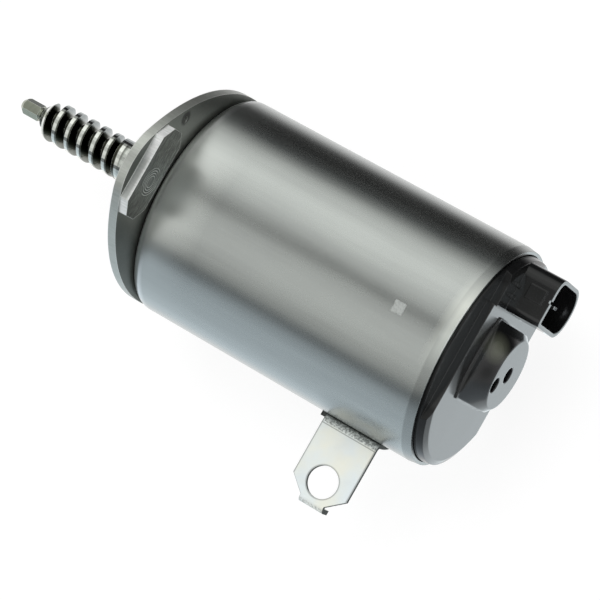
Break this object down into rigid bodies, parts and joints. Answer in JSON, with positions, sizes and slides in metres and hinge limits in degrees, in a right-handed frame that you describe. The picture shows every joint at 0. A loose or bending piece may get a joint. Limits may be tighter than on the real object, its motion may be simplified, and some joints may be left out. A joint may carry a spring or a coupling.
{
  "type": "variable valve timing actuator motor",
  "caption": "Brushed actuator motor in a drawn steel can, with an eared mounting flange, a worm on its shaft, a side support bracket and a moulded rear cap with a plug hood.",
  "frame": {"origin": "on the motor's axis, in the plane of the mounting flange's mating face, where the pilot starts", "axes": "+X along the motor's axis from the worm to the plug, +Z through the flange's ear, +Y towards the plug hood's side; the support bracket is at -Y"},
  "size_m": [0.1548, 0.0822, 0.079],
  "materials": {
    "can_steel": "satin drawn steel",
    "flange_steel": "satin, greenish grey phosphate",
    "screw_steel": "dark oxide",
    "ring_rubber": "matte black",
    "lip_rubber": "matte brown",
    "spring_steel": "bright strip",
    "bearing_steel": "ground and polished",
    "ball_steel": "polished",
    "cage_brass": "satin",
    "shield_steel": "satin",
    "shaft_steel": "ground and polished",
    "lamination_steel": "dull laminations",
    "slot_insulation": "matte green",
    "winding_copper": "varnished copper wire",
    "hub_resin": "matte brown",
    "bar_copper": "turned copper",
    "washer_steel": "satin",
    "ferrite": "matte dark grey",
    "carrier_resin": "matte black",
    "holder_brass": "bright strip",
    "brush_carbon": "matte carbon",
    "tinned_metal": "tin plate",
    "cap_plastic": "gloss black",
    "bush_bronze": "sintered",
    "bracket_zinc": "bright zinc plate"
  },
  "bodies": {
    "housing": {"motor_can": "can_steel", "mounting_flange": "flange_steel", "flange_screws": "screw_steel", "flange_o_ring": "ring_rubber", "shaft_seal": "lip_rubber", "preload_washer": "spring_steel", "bearing_outer_ring": "bearing_steel", "bearing_shields": "shield_steel", "field_magnets": "ferrite", "magnet_clips": "spring_steel", "brush_carrier": "carrier_resin", "brush_holders": "holder_brass", "brushes": "brush_carbon", "brush_springs": "spring_steel", "choke_cores": "ferrite", "choke_coils": "winding_copper", "terminal_blades": "tinned_metal", "rear_cap": "cap_plastic", "cap_seal": "ring_rubber", "rear_bush": "bush_bronze", "support_bracket": "bracket_zinc"},
    "rotor": {"worm_shaft": "shaft_steel", "bearing_inner_ring": "bearing_steel", "bearing_circlip": "spring_steel", "armature_core": "lamination_steel", "armature_end_discs": "slot_insulation", "armature_windings": "winding_copper", "commutator_hub": "hub_resin", "commutator_bars": "bar_copper", "thrust_washer": "washer_steel"},
    "ball_set": {"bearing_balls": "ball_steel", "bearing_cage": "cage_brass"}
  },
  "joints": [
    {"name": "rotor_spin", "type": "hinge", "parent": "housing", "child": "rotor", "pos_m": [0, 0, 0], "axis": [1, 0, 0], "continuous": true},
    {"name": "ball_set_spin", "type": "hinge", "parent": "housing", "child": "ball_set", "pos_m": [0, 0, 0], "axis": [1, 0, 0], "continuous": true}
  ],
  "couplings": [
    {"joint": "ball_set_spin", "follows": "rotor_spin", "ratio": 0.381}
  ]
}
